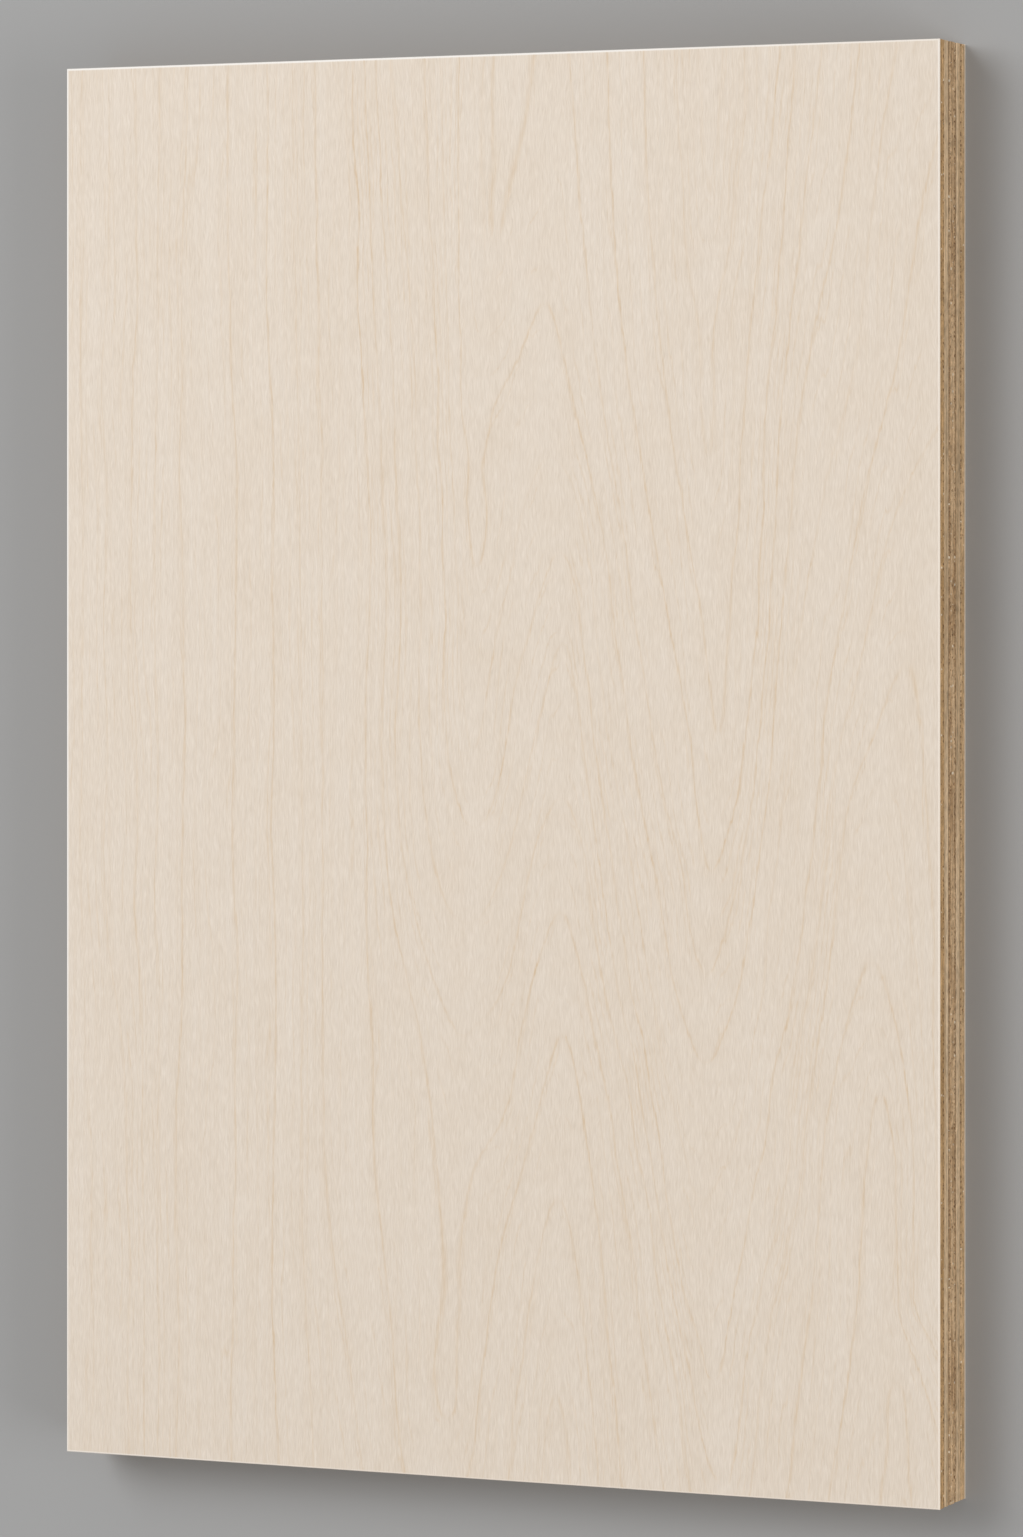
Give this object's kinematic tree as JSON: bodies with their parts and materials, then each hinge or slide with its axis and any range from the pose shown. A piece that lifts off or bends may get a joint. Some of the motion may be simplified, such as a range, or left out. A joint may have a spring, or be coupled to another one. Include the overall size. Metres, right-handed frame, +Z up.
{
  "type": "plywood sheet",
  "caption": "Flat rectangular plywood sheet: pale hardwood face and back veneers over crosswise inner plies, sawn square with lightly sanded arrises, for panels, shelves and boxes.",
  "frame": {"origin": "centre of the underside of the sheet, on the floor that it lies on", "axes": "+X across the face grain, +Y along the face grain and the sheet's length, +Z up through the thickness, out of the face veneer"},
  "size_m": [0.22, 0.33, 0.018],
  "materials": {
    "pale_veneer": "bare, fine sanded, pale cream with faint tan growth lines",
    "crossband_wood": "bare sawn edge, ochre brown",
    "inner_ply_wood": "bare sawn edge, greyish tan",
    "core_wood": "bare sawn edge, mid brown with dark pores"
  },
  "bodies": {
    "root": {"face_veneer": "pale_veneer", "face_crossband": "crossband_wood", "face_inner_ply": "inner_ply_wood", "core_ply": "core_wood", "back_inner_ply": "inner_ply_wood", "back_crossband": "crossband_wood", "back_veneer": "pale_veneer"}
  },
  "joints": []
}
